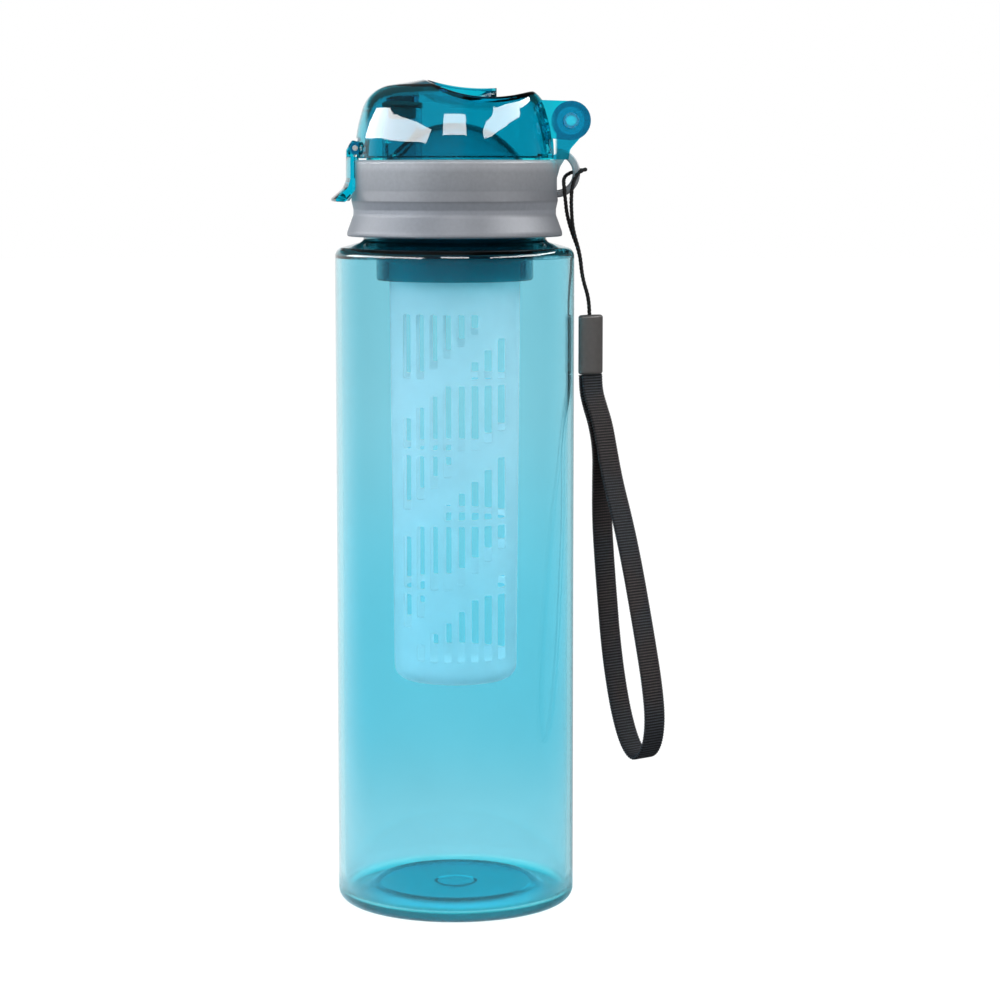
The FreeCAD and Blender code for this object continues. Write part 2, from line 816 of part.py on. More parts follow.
os.makedirs("parts", exist_ok=True)
save(bottle_body(), "bottle_body")
save(neck_gasket(), "neck_gasket")
save(cap_core(), "cap_core")
save(grip_collar(), "grip_collar")
save(carry_loop(), "carry_loop")
save(infuser_ring(), "infuser_ring")
save(infuser_basket(), "infuser_basket")
save(flip_lid(), "flip_lid")
save(spout_plug(), "spout_plug")
save(hinge_pin(), "hinge_pin")
save(front_latch(), "front_latch")
save(latch_pin(), "latch_pin")
save(wrist_cord(), "wrist_cord")
save(cord_stopper(), "cord_stopper")
save(wrist_strap(), "wrist_strap")
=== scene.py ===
import math

import bmesh
import bpy
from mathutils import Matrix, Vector


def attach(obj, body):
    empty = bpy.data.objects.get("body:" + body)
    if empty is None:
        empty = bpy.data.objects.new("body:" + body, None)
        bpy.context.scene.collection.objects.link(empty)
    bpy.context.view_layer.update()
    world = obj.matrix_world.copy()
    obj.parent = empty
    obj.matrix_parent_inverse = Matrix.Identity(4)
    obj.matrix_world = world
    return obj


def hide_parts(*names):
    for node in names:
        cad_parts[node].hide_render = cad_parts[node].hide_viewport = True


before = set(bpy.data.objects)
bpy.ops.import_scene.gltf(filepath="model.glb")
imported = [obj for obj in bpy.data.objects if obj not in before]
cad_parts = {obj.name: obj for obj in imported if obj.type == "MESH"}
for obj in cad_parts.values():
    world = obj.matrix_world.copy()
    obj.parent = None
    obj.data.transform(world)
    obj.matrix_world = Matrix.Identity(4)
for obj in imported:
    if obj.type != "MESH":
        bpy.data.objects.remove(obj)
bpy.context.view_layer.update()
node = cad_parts
MM = 0.001

# Studio: the bottle stands on a pale floor in front of a white backdrop.
# Soft lamps light it evenly; white cards beside and above the camera give the
# clear plastic its window-shaped reflections. The camera is nearly level with the collar.
BOUNCES = 32  # enough for light to cross every wall of the bottle, basket and cap
scene = bpy.context.scene
scene.view_settings.view_transform = "Standard"
scene.cycles.max_bounces = BOUNCES
scene.cycles.transmission_bounces = BOUNCES
scene.cycles.transparent_max_bounces = BOUNCES

AMBIENT = 0.6  # light of the room on dull surfaces
ROOM_SHOWN = (0.14, 1.0)  # what gloss shows of the room: behind the camera, behind the bottle
ROOM_TURN = (0.1, 0.65)  # how far backwards a direction points where that changes
ABOVE_SHOWN = 0.1  # what gloss shows above the backdrop
ABOVE_FADE = (0.16, 0.25)
RIGHT_SHOWN = 0.15  # share of all that in gloss far to the right, where the backdrop ends
RIGHT_FADE = (0.05, 0.3)
FLOOR_SIDE = 6.0
FLOOR_DROP = 0.00005  # keeps the floor clear of the foot
FLOOR_ALBEDO = 0.15
FLOOR_BOUNCE = 0.35  # light of the floor on dull surfaces
FLOOR_SHOWN = (0.12, 1.0)  # as for the room
FLOOR_TURN = (0.2, 0.75)
FLOOR_GLOW = (0.87, 0.92)  # near the bottle, and far off where less lamp light falls
FLOOR_FADE = (0.25, 0.7)  # distance from the bottle over which it changes
NEAR = 0.12  # close under the bottle the floor counts as behind it


def link(tree, source, target):
    tree.links.new(source, target)


def feed(tree, sockets, values):
    """Sets numbers and colours, and links sockets; None is left alone."""
    for socket, value in zip(sockets, values):
        if isinstance(value, bpy.types.NodeSocket):
            link(tree, value, socket)
        elif value is not None:
            socket.default_value = value


def maths(tree, operation, a, b=None, c=None):
    made = tree.nodes.new("ShaderNodeMath")
    made.operation = operation
    feed(tree, made.inputs, (a, b, c))
    return made.outputs[0]


def ramp(tree, value, low, high, to_low, to_high):
    """Smooth step from one level to another between two values."""
    made = tree.nodes.new("ShaderNodeMapRange")
    made.interpolation_type = "SMOOTHSTEP"
    feed(tree, made.inputs[:5], (value, low, high, to_low, to_high))
    return made.outputs[0]


def place_of(tree, coordinates="Object"):
    """X, Y and Z of a texture coordinate."""
    split = tree.nodes.new("ShaderNodeSeparateXYZ")
    link(tree, tree.nodes.new("ShaderNodeTexCoord").outputs[coordinates], split.inputs[0])
    return split.outputs


def squared(tree, value):
    return maths(tree, "POWER", maths(tree, "ABSOLUTE", value), 2.0)


def brightness(tree, dull, shown, right):
    """1 for what is seen straight or through clear plastic, else what gloss shows.

    Dull surfaces get a level of their own.
    """
    path = tree.nodes.new("ShaderNodeLightPath").outputs
    direct = maths(tree, "LESS_THAN", path["Diffuse Depth"], 0.5)
    in_gloss = maths(tree, "MULTIPLY", path["Is Glossy Ray"], direct)
    through = maths(tree, "MULTIPLY", path["Is Transmission Ray"], direct)
    gloss = maths(tree, "MULTIPLY", shown, right)
    rest = maths(tree, "MULTIPLY_ADD", in_gloss, maths(tree, "SUBTRACT", gloss, dull), dull)
    rest = maths(tree, "MULTIPLY_ADD", through, maths(tree, "SUBTRACT", shown, rest), rest)
    unmirrored = maths(tree, "LESS_THAN", path["Glossy Depth"], 0.5)
    straight = maths(tree, "MULTIPLY", through, unmirrored)
    seen = maths(tree, "MAXIMUM", path["Is Camera Ray"], straight)
    return maths(tree, "MULTIPLY_ADD", seen, maths(tree, "SUBTRACT", 1.0, rest), rest)


backdrop = bpy.data.worlds.new("white_backdrop")
scene.world = backdrop
backdrop.use_nodes = True
sky = backdrop.node_tree
sky.nodes.clear()
sky_out = sky.nodes.new("ShaderNodeOutputWorld")
sky_white = sky.nodes.new("ShaderNodeBackground")
sky_white.inputs["Color"].default_value = (1.0, 1.0, 1.0, 1.0)
way = place_of(sky, "Generated")
above = ramp(sky, way["Z"], *ABOVE_FADE, ROOM_SHOWN[1], ABOVE_SHOWN)
at_back = ramp(sky, way["Y"], *ROOM_TURN, 0.0, 1.0)
room = maths(sky, "MULTIPLY_ADD", at_back, maths(sky, "SUBTRACT", above, ROOM_SHOWN[0]), ROOM_SHOWN[0])
right = ramp(sky, way["X"], *RIGHT_FADE, 1.0, RIGHT_SHOWN)
link(sky, brightness(sky, AMBIENT, room, right), sky_white.inputs["Strength"])
link(sky, sky_white.outputs[0], sky_out.inputs["Surface"])


def blank_material(name):
    """Material with an empty node tree, and its output node."""
    made = bpy.data.materials.new(name)
    made.use_nodes = True
    made.node_tree.nodes.clear()
    return made, made.node_tree, made.node_tree.nodes.new("ShaderNodeOutputMaterial")


def placed_object(name, data):
    made = bpy.data.objects.new(name, data)
    scene.collection.objects.link(made)
    return made


floor_mesh = bpy.data.meshes.new("floor")
floor_mesh.from_pydata(
    [(x * FLOOR_SIDE, y * FLOOR_SIDE, -FLOOR_DROP) for x, y in ((-1, -1), (1, -1), (1, 1), (-1, 1))],
    [],
    [(0, 1, 2, 3)],
)
floor = placed_object("floor", floor_mesh)
floor_paint, tree, out = blank_material("pale_floor")
floor_dull = tree.nodes.new("ShaderNodeBsdfDiffuse")
floor_dull.inputs["Color"].default_value = (FLOOR_ALBEDO, FLOOR_ALBEDO, FLOOR_ALBEDO, 1.0)
floor_glow = tree.nodes.new("ShaderNodeEmission")
floor_add = tree.nodes.new("ShaderNodeAddShader")
spread = tree.nodes.new("ShaderNodeVectorMath")
spread.operation = "LENGTH"
link(tree, tree.nodes.new("ShaderNodeTexCoord").outputs["Object"], spread.inputs[0])
level = ramp(tree, spread.outputs["Value"], *FLOOR_FADE, *FLOOR_GLOW)
way = place_of(tree)
reach = maths(tree, "ADD", spread.outputs["Value"], NEAR)
behind = maths(tree, "DIVIDE", maths(tree, "ADD", way["Y"], NEAR), reach)
aside = maths(tree, "DIVIDE", way["X"], reach)
shown = ramp(tree, behind, *FLOOR_TURN, *FLOOR_SHOWN)
right = ramp(tree, aside, *RIGHT_FADE, 1.0, RIGHT_SHOWN)
lit = maths(tree, "MULTIPLY", brightness(tree, FLOOR_BOUNCE, shown, right), level)
link(tree, lit, floor_glow.inputs["Strength"])
link(tree, floor_dull.outputs[0], floor_add.inputs[0])
link(tree, floor_glow.outputs[0], floor_add.inputs[1])
link(tree, floor_add.outputs[0], out.inputs["Surface"])
floor_mesh.materials.append(floor_paint)

AIM = Vector((0.0, 0.0, 0.16))
LID_MIDDLE = Vector((0.0, 0.0, 0.235))
CARD_DISTANCE = 2.4
CARD_STRENGTH = 14.0


def around(centre, azimuth, elevation, distance):
    """Point seen from a centre: azimuth 0 is towards the camera, positive to its right."""
    a, e = math.radians(azimuth), math.radians(elevation)
    return centre + distance * Vector((math.sin(a) * math.cos(e), -math.cos(a) * math.cos(e), math.sin(e)))


def soft_lamp(name, azimuth, elevation, distance, width, height, watts, colour=(1.0, 1.0, 1.0)):
    """Area lamp that lights the bottle and doesn't show in its gloss."""
    lamp = bpy.data.lights.new(name, "AREA")
    lamp.color = colour
    lamp.shape = "RECTANGLE"
    lamp.size, lamp.size_y = width, height
    lamp.energy = watts
    stand = placed_object(name, lamp)
    stand.location = around(AIM, azimuth, elevation, distance)
    stand.rotation_euler = (AIM - stand.location).to_track_quat("-Z", "Y").to_euler()
    stand.visible_glossy = False
    stand.visible_transmission = False


soft_lamp("front_lamp", azimuth=4, elevation=42, distance=2.2, width=1.4, height=1.2, watts=10.5)
soft_lamp(
    "left_lamp",
    azimuth=-70,
    elevation=30,
    distance=2.0,
    width=1.2,
    height=1.4,
    watts=26,
    colour=(0.7, 0.86, 1.0),
)
soft_lamp("right_lamp", azimuth=75, elevation=38, distance=2.0, width=1.0, height=1.2, watts=20)

card_paint, tree, out = blank_material("lit_card")
card_glow = tree.nodes.new("ShaderNodeEmission")
card_glow.inputs["Strength"].default_value = CARD_STRENGTH
link(tree, card_glow.outputs[0], out.inputs["Surface"])


def lit_card(name, lower, upper):
    """White card seen only in reflections.

    It spans two rows of corners, each an azimuth and elevation seen from the lid.
    """
    mesh = bpy.data.meshes.new(name)
    last = len(lower)
    mesh.from_pydata(
        [around(LID_MIDDLE, a, e, CARD_DISTANCE) for a, e in lower + upper],
        [],
        [(i, i + 1, last + i + 1, last + i) for i in range(last - 1)],
    )
    mesh.materials.append(card_paint)
    card = placed_object(name, mesh)
    card.visible_camera = False
    card.visible_diffuse = False
    card.visible_transmission = False
    card.visible_shadow = False


lit_card("front_card", [(-13, 16), (15, 16)], [(-13, 33), (15, 33)])
lit_card("left_card", [(-127, 6), (-80, 9), (-32, 8)], [(-121, 17), (-72, 26), (-27, 20)])
lit_card(
    "right_card",
    [(35, 12), (47, 15), (90, 23), (118, 27), (140, 29)],
    [(35, 20), (42, 26), (63, 34), (100, 36), (140, 31)],
)

SENSOR = 36.0
LENS = 102.56
CAMERA_PLACE = (0.0136, -0.860, 0.2236)
CAMERA_DIP = 6.7  # degrees below level
eye = bpy.data.cameras.new("camera")
eye.sensor_width = SENSOR
eye.lens = LENS
eye.clip_start, eye.clip_end = 0.05, 50.0
camera = placed_object("camera", eye)
camera.location = CAMERA_PLACE
camera.rotation_euler = (math.radians(90 - CAMERA_DIP), 0.0, 0.0)
scene.camera = camera

# Bottle body: one blow-moulded piece of clear copolyester, tinted pale aqua right
# through, so its colour deepens where light runs along the wall. Painted shade tints
# the lower wall, the raised base and the neck a deeper teal. The moulding leaves a
# very slight ripple, and the mould is matt round the foot.
moulding = bpy.data.node_groups.new("moulding_marks", "ShaderNodeTree")
moulding.interface.new_socket("Colour", in_out="INPUT", socket_type="NodeSocketColor")
for name in ("Shade", "Roughness", "Haze", "Scale"):
    moulding.interface.new_socket(name, in_out="INPUT", socket_type="NodeSocketFloat")
moulding.interface.new_socket("Colour", in_out="OUTPUT", socket_type="NodeSocketColor")
for name in ("Roughness", "Height"):
    moulding.interface.new_socket(name, in_out="OUTPUT", socket_type="NodeSocketFloat")
FLOW_RANGE = (0.3, 0.7)  # values of the noise between which the shade changes
group_in = moulding.nodes.new("NodeGroupInput").outputs
group_out = moulding.nodes.new("NodeGroupOutput").inputs
flow = moulding.nodes.new("ShaderNodeTexNoise")
flow.inputs["Detail"].default_value = 3.0
link(moulding, moulding.nodes.new("ShaderNodeTexCoord").outputs["Object"], flow.inputs["Vector"])
link(moulding, group_in["Scale"], flow.inputs["Scale"])
shade = moulding.nodes.new("ShaderNodeMapRange")
feed(moulding, shade.inputs[:5], (flow.outputs["Fac"], *FLOW_RANGE, group_in["Shade"], 1.0))
tint = moulding.nodes.new("ShaderNodeVectorMath")
tint.operation = "SCALE"
link(moulding, group_in["Colour"], tint.inputs[0])
link(moulding, shade.outputs["Result"], tint.inputs["Scale"])
link(moulding, tint.outputs[0], group_out["Colour"])
haze = maths(moulding, "MULTIPLY_ADD", flow.outputs["Fac"], group_in["Haze"], group_in["Roughness"])
link(moulding, haze, group_out["Roughness"])
link(moulding, flow.outputs["Fac"], group_out["Height"])


def new_finish(name):
    """Material with a Principled shader that isn't linked to its output yet."""
    finish, tree, out = blank_material(name)
    return finish, tree, out, tree.nodes.new("ShaderNodeBsdfPrincipled")


def moulded(tree, shader, colour, shade, roughness, haze, scale, ripple):
    """Feeds a shader's colour, roughness and normal from the moulding marks."""
    marks = tree.nodes.new("ShaderNodeGroup")
    marks.node_tree = moulding
    feed(tree, marks.inputs, ((*colour, 1.0), shade, roughness, haze, scale))
    bump = tree.nodes.new("ShaderNodeBump")
    bump.inputs["Strength"].default_value = 1.0
    bump.inputs["Distance"].default_value = ripple
    link(tree, marks.outputs["Colour"], shader.inputs["Base Color"])
    link(tree, marks.outputs["Roughness"], shader.inputs["Roughness"])
    link(tree, marks.outputs["Height"], bump.inputs["Height"])
    link(tree, bump.outputs["Normal"], shader.inputs["Normal"])
    return marks


def let_lamps_through(tree, shader, out, share):
    """Surface that is open to the lamps' light, which would else stop at its walls."""
    path = tree.nodes.new("ShaderNodeLightPath")
    pass_lamp = tree.nodes.new("ShaderNodeBsdfTransparent")
    pass_lamp.inputs["Color"].default_value = (*share, 1.0)
    lets_light = tree.nodes.new("ShaderNodeMixShader")
    link(tree, path.outputs["Is Shadow Ray"], lets_light.inputs[0])
    link(tree, shader.outputs[0], lets_light.inputs[1])
    link(tree, pass_lamp.outputs[0], lets_light.inputs[2])
    link(tree, lets_light.outputs[0], out.inputs["Surface"])


def clear_plastic(name, surface, dye, density, roughness):
    """Clear moulded plastic: tinted at its surface and through its thickness."""
    finish, tree, out, shader = new_finish(name)
    marks = moulded(
        tree, shader, surface, shade=0.97, roughness=roughness, haze=0.02, scale=30.0, ripple=0.00002
    )
    shader.inputs["Transmission Weight"].default_value = 1.0
    shader.inputs["IOR"].default_value = 1.5
    let_lamps_through(tree, shader, out, (1.0, 0.97, 0.97))
    inside = tree.nodes.new("ShaderNodeVolumeAbsorption")
    inside.inputs["Color"].default_value = (*dye, 1.0)
    inside.inputs["Density"].default_value = density
    link(tree, inside.outputs[0], out.inputs["Volume"])
    return finish, tree, marks


def dress(name, finish):
    """Puts a finish on a CAD piece."""
    node[name].data.materials.clear()
    node[name].data.materials.append(finish)


def blend_colours(tree, share, one, other):
    """Colour that goes from one to the other; either may be a colour or a socket."""
    mix = tree.nodes.new("ShaderNodeMix")
    mix.data_type = "RGBA"
    link(tree, share, mix.inputs["Factor"])
    for socket, colour in ((mix.inputs[6], one), (mix.inputs[7], other)):
        linked = isinstance(colour, bpy.types.NodeSocket)
        feed(tree, [socket], [colour if linked else (*colour, 1.0)])
    return mix.outputs[2]


UPPER_WALL = (0.56, 0.855, 0.927)
LOWER_WALL_SHADE = (0.405, 0.825, 0.925)
LOWER_IN, LOWER_OUT = (0.015, 0.06), (0.08, 0.16)  # heights where the painted shade of the lower wall comes and goes
BASE_SHADE = (0.0, 0.8, 1.0)
BASE_TOP, BASE_EDGE = (0.007, 0.01), (0.0265, 0.0285)
FOOT_RING = (0.0, 0.6, 0.71)
FOOT_LIP = (0.25, 0.9, 0.95)
FOOT_TOP, LIP_START = (0.0025, 0.005), (0.0325, 0.0345)
NECK_SHADE = (0.08, 0.36, 0.42)
NECK_START = (0.1968, 0.1976)
GLOSS = 0.01
FOOT_HAZE = 0.25
BASE_HAZE = 0.5  # share of that on the raised base
HAZE_TOP, HAZE_EDGE = (0.006, 0.01), (0.022, 0.026)
AQUA_DYE = (0.0, 0.69, 0.775)
AQUA_DENSITY = 80.0
aqua, tree, marks = clear_plastic("clear_aqua", UPPER_WALL, AQUA_DYE, AQUA_DENSITY, GLOSS)
way = place_of(tree)
from_axis = maths(tree, "SQRT", maths(tree, "ADD", squared(tree, way["X"]), squared(tree, way["Y"])))
lower_in = ramp(tree, way["Z"], *LOWER_IN, 0.0, 1.0)
lower = maths(tree, "MULTIPLY", lower_in, ramp(tree, way["Z"], *LOWER_OUT, 1.0, 0.0))
# Painted shade: the lower wall is tinted a deeper teal between these heights.
wall = blend_colours(tree, lower, UPPER_WALL, LOWER_WALL_SHADE)
# Painted shade: the neck, in shade under the collar, is tinted a dark teal.
wall = blend_colours(tree, ramp(tree, way["Z"], *NECK_START, 0.0, 1.0), wall, NECK_SHADE)
foot = blend_colours(tree, ramp(tree, from_axis, *LIP_START, 0.0, 1.0), FOOT_RING, FOOT_LIP)
wall = blend_colours(tree, ramp(tree, way["Z"], *FOOT_TOP, 1.0, 0.0), wall, foot)
# Painted shade: the raised base, unlit from beneath, is tinted a saturated teal.
under = ramp(tree, way["Z"], *BASE_TOP, 1.0, 0.0)
in_base = maths(tree, "MULTIPLY", under, ramp(tree, from_axis, *BASE_EDGE, 1.0, 0.0))
link(tree, blend_colours(tree, in_base, wall, BASE_SHADE), marks.inputs["Colour"])
low_haze = ramp(tree, way["Z"], *HAZE_TOP, FOOT_HAZE, 0.0)
at_foot = maths(tree, "MULTIPLY", low_haze, ramp(tree, from_axis, *HAZE_EDGE, BASE_HAZE, 1.0))
link(tree, maths(tree, "ADD", at_foot, GLOSS), marks.inputs["Roughness"])
dress("bottle_body", aqua)

# Neck thread: rounded ridge that runs a little over one and a half turns round the
# neck and sinks into it at both ends; moulded with the bottle, and it takes the cap.
# A node tree sweeps it along a spiral; the cap's own ridge is made by the same tree.
SPIRAL_STEPS = 90  # in each turn
RIDGE_SIDES = 14
RIDGE_END = 0.09  # share of its length over which the ridge sinks
RIDGE_SINKS = 1.3  # how far, in ridge heights
ROOT = -0.0001  # how far the ridge's flat back lies in the wall
THREAD = {"Ridge Radius": 0.0008, "Ridge Height": 0.0006, "Turns": 1.6, "Pitch": 0.0038}
NECK_WALL = 0.0264
NECK_THREAD_START = 0.2085


def node_in(tree, kind, **settings):
    made = tree.nodes.new(kind)
    for key, value in settings.items():
        setattr(made, key, value)
    return made


def vector_maths(tree, operation, a, b=None, scale=None):
    made = node_in(tree, "ShaderNodeVectorMath", operation=operation)
    feed(tree, made.inputs, (a, b))
    if scale is not None:
        link(tree, scale, made.inputs["Scale"])
    return made.outputs[0]


def node_tree(name, inputs):
    """Geometry node tree with a geometry in and out, and named inputs."""
    tree = bpy.data.node_groups.new(name, "GeometryNodeTree")
    tree.interface.new_socket("Geometry", in_out="INPUT", socket_type="NodeSocketGeometry")
    tree.interface.new_socket("Geometry", in_out="OUTPUT", socket_type="NodeSocketGeometry")
    for label, kind in inputs.items():
        tree.interface.new_socket(label, in_out="INPUT", socket_type="NodeSocket" + kind)
    return tree, tree.nodes.new("NodeGroupInput").outputs, tree.nodes.new("NodeGroupOutput").inputs


def level_part(tree):
    """Position without its height, and its distance from the axis."""
    split = node_in(tree, "ShaderNodeSeparateXYZ")
    link(tree, node_in(tree, "GeometryNodeInputPosition").outputs[0], split.inputs[0])
    flat = node_in(tree, "ShaderNodeCombineXYZ")
    link(tree, split.outputs["X"], flat.inputs["X"])
    link(tree, split.outputs["Y"], flat.inputs["Y"])
    length = node_in(tree, "ShaderNodeVectorMath", operation="LENGTH")
    link(tree, flat.outputs[0], length.inputs[0])
    return flat.outputs[0], length.outputs["Value"]


def moved(tree, shape, offset):
    made = node_in(tree, "GeometryNodeSetPosition")
    link(tree, shape, made.inputs["Geometry"])
    link(tree, offset, made.inputs["Offset"])
    return made.outputs[0]


def ring_section(tree, sides, radius):
    made = node_in(tree, "GeometryNodeCurvePrimitiveCircle")
    made.inputs["Resolution"].default_value = sides
    link(tree, radius, made.inputs["Radius"])
    return made.outputs[0]


def swept(tree, line, section):
    """Closed mesh of a section that runs along a line."""
    made = node_in(tree, "GeometryNodeCurveToMesh")
    made.inputs["Fill Caps"].default_value = True
    link(tree, line, made.inputs["Curve"])
    link(tree, section, made.inputs["Profile Curve"])
    return made.outputs[0]


def put_out(tree, shape, tree_in, tree_out):
    """Ends a tree: its shape as a smooth, real mesh in the input material."""
    smooth = node_in(tree, "GeometryNodeSetShadeSmooth")
    link(tree, shape, smooth.inputs[0])
    real = node_in(tree, "GeometryNodeRealizeInstances")
    link(tree, smooth.outputs[0], real.inputs[0])
    painted = node_in(tree, "GeometryNodeSetMaterial")
    link(tree, real.outputs[0], painted.inputs["Geometry"])
    link(tree, tree_in["Material"], painted.inputs["Material"])
    link(tree, painted.outputs[0], tree_out[0])


def grown(name, mesh, tree, values):
    """Plain mesh piece that a node tree makes from a start mesh."""
    start = placed_object(name + "_start", mesh)
    modifier = start.modifiers.new(name, "NODES")
    modifier.node_group = tree
    for item in tree.interface.items_tree:
        if item.in_out == "INPUT" and item.name in values:
            modifier[item.identifier] = values[item.name]
    bpy.context.view_layer.update()
    shape = start.evaluated_get(bpy.context.evaluated_depsgraph_get())
    made = bpy.data.meshes.new_from_object(shape)
    made.name = name
    bpy.data.objects.remove(start)
    return placed_object(name, made)


tree, tree_in, tree_out = node_tree(
    "thread_ridge",
    {
        "Wall Radius": "Float",
        "Outward": "Float",
        "Ridge Radius": "Float",
        "Ridge Height": "Float",
        "Turns": "Float",
        "Pitch": "Float",
        "Start Height": "Float",
        "Material": "Material",
    },
)
thread_tree = tree
on_wall, outward = tree_in["Wall Radius"], tree_in["Outward"]
proud = maths(tree, "SUBTRACT", tree_in["Ridge Height"], tree_in["Ridge Radius"])
middle = maths(tree, "MULTIPLY_ADD", outward, proud, on_wall)
spiral = node_in(tree, "GeometryNodeCurveSpiral")
spiral.inputs["Resolution"].default_value = SPIRAL_STEPS
link(tree, tree_in["Turns"], spiral.inputs["Rotations"])
link(tree, middle, spiral.inputs["Start Radius"])
link(tree, middle, spiral.inputs["End Radius"])
link(tree, maths(tree, "MULTIPLY", tree_in["Turns"], tree_in["Pitch"]), spiral.inputs["Height"])
run = node_in(tree, "GeometryNodeSplineParameter").outputs["Factor"]
to_end = maths(tree, "MINIMUM", run, maths(tree, "SUBTRACT", 1.0, run))
sunk = ramp(tree, to_end, 0.0, RIDGE_END, RIDGE_SINKS, 0.0)
inward = maths(tree, "MULTIPLY", outward, maths(tree, "MULTIPLY", sunk, -1.0))
level, from_axis = level_part(tree)
depth = maths(tree, "MULTIPLY", inward, tree_in["Ridge Height"])
aside = vector_maths(tree, "SCALE", vector_maths(tree, "NORMALIZE", level), scale=depth)
lift = node_in(tree, "ShaderNodeCombineXYZ")
link(tree, tree_in["Start Height"], lift.inputs["Z"])
line = moved(tree, spiral.outputs[0], vector_maths(tree, "ADD", aside, lift.outputs[0]))
ridge = swept(tree, line, ring_section(tree, RIDGE_SIDES, tree_in["Ridge Radius"]))
back = maths(tree, "ADD", maths(tree, "MULTIPLY", outward, on_wall), ROOT)
cut = maths(tree, "MAXIMUM", maths(tree, "MULTIPLY", outward, from_axis), back)
stretch = maths(tree, "DIVIDE", maths(tree, "MULTIPLY", outward, cut), from_axis)
to_back = vector_maths(tree, "SCALE", level, scale=maths(tree, "SUBTRACT", stretch, 1.0))
put_out(tree, moved(tree, ridge, to_back), tree_in, tree_out)

neck_thread = grown(
    "neck_thread",
    bpy.data.meshes.new("neck_thread_start"),
    thread_tree,
    {
        "Wall Radius": NECK_WALL,
        "Outward": 1.0,
        "Start Height": NECK_THREAD_START,
        "Material": aqua,
        **THREAD,
    },
)
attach(neck_thread, "bottle")

# Neck gasket: flat ring of soft translucent silicone that lies on the neck's rim,
# where the cap's deck presses it. Light goes a little way into it.
SILICONE_DEPTH = 0.002
silicone, tree, out, shader = new_finish("silicone")
moulded(
    tree, shader, (0.78, 0.82, 0.82), shade=0.9, roughness=0.42, haze=0.12, scale=400.0, ripple=0.00002
)
shader.inputs["Subsurface Weight"].default_value = 0.3
shader.inputs["Subsurface Radius"].default_value = (SILICONE_DEPTH, SILICONE_DEPTH, SILICONE_DEPTH)
link(tree, shader.outputs[0], out.inputs["Surface"])
dress("neck_gasket", silicone)

# Infuser ring: carrier of the basket, pushed onto the cap's spigot. It is moulded in
# the same clear plastic as the cap, with so much more dye that it looks dark.
RING_TINT = (0.0, 0.4, 0.48)
RING_DYE = (0.0, 0.8, 0.83)
RING_DENSITY = 500.0
RING_ROUGHNESS = 0.02
ring_teal = clear_plastic("dark_teal", RING_TINT, RING_DYE, RING_DENSITY, RING_ROUGHNESS)[0]
dress("infuser_ring", ring_teal)

# Infuser basket: natural frosted plastic, slotted right through, so that water passes
# and fruit stays in it. Its flanged rim sits in the carrier ring, held by friction.
frosted, tree, out, shader = new_finish("frosted_aqua")
moulded(tree, shader, (0.9, 0.9, 0.93), shade=0.94, roughness=0.4, haze=0.15, scale=250.0, ripple=0.00003)
shader.inputs["Transmission Weight"].default_value = 0.62
shader.inputs["IOR"].default_value = 1.3
let_lamps_through(tree, shader, out, (0.8, 0.8, 0.8))
dress("infuser_basket", frosted)

# Cap core: clear teal cap with its dome, spout and hinge ears, moulded in one piece.
# Its walls are thinner and paler than the lid's. Round the hinge the teal is deepened,
# a painted shade, and in the round recess of each ear it is lighter, a painted light.
CORE_TINT = (0.16, 0.85, 0.88)
HINGE_SHADE = (0.02, 0.6, 0.72)
RECESS_LIGHT = (0.06, 0.7, 0.82)
HINGE_X, HINGE_Z = 0.0347, 0.2368
HINGE_START = (0.0285, 0.0305)
RECESS_EDGE = (0.004, 0.0043)  # distance from the hinge axis
TEAL_DYE = (0.0, 0.95, 0.98)
TEAL_DENSITY = 200.0


def teal_plastic(name, tint, roughness=GLOSS):
    """Clear teal with painted shade at the hinge and a painted light in its recess."""
    finish, tree, marks = clear_plastic(name, tint, TEAL_DYE, TEAL_DENSITY, roughness)
    way = place_of(tree)
    at_hinge = ramp(tree, way["X"], *HINGE_START, 0.0, 1.0)
    across = squared(tree, maths(tree, "SUBTRACT", way["X"], HINGE_X))
    up = squared(tree, maths(tree, "SUBTRACT", way["Z"], HINGE_Z))
    away = maths(tree, "SQRT", maths(tree, "ADD", across, up))
    # Painted shade at the hinge, and painted light in the ears' recesses.
    painted_tone = blend_colours(tree, at_hinge, tint, HINGE_SHADE)
    in_recess = ramp(tree, away, *RECESS_EDGE, 1.0, 0.0)
    link(tree, blend_colours(tree, in_recess, painted_tone, RECESS_LIGHT), marks.inputs["Colour"])
    return finish


core_teal = teal_plastic("core_teal", CORE_TINT)
dress("cap_core", core_teal)

# Cap thread: the matching ridge inside the core's skirt, moulded with the cap.
# It starts lower than the neck's ridge and keeps clear of it as the cap turns.
SKIRT_WALL = 0.0277
CAP_THREAD_START = 0.2072
cap_thread = grown(
    "cap_thread",
    bpy.data.meshes.new("cap_thread_start"),
    thread_tree,
    {
        "Wall Radius": SKIRT_WALL,
        "Outward": -1.0,
        "Start Height": CAP_THREAD_START,
        "Material": core_teal,
        **THREAD,
    },
)
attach(cap_thread, "cap")

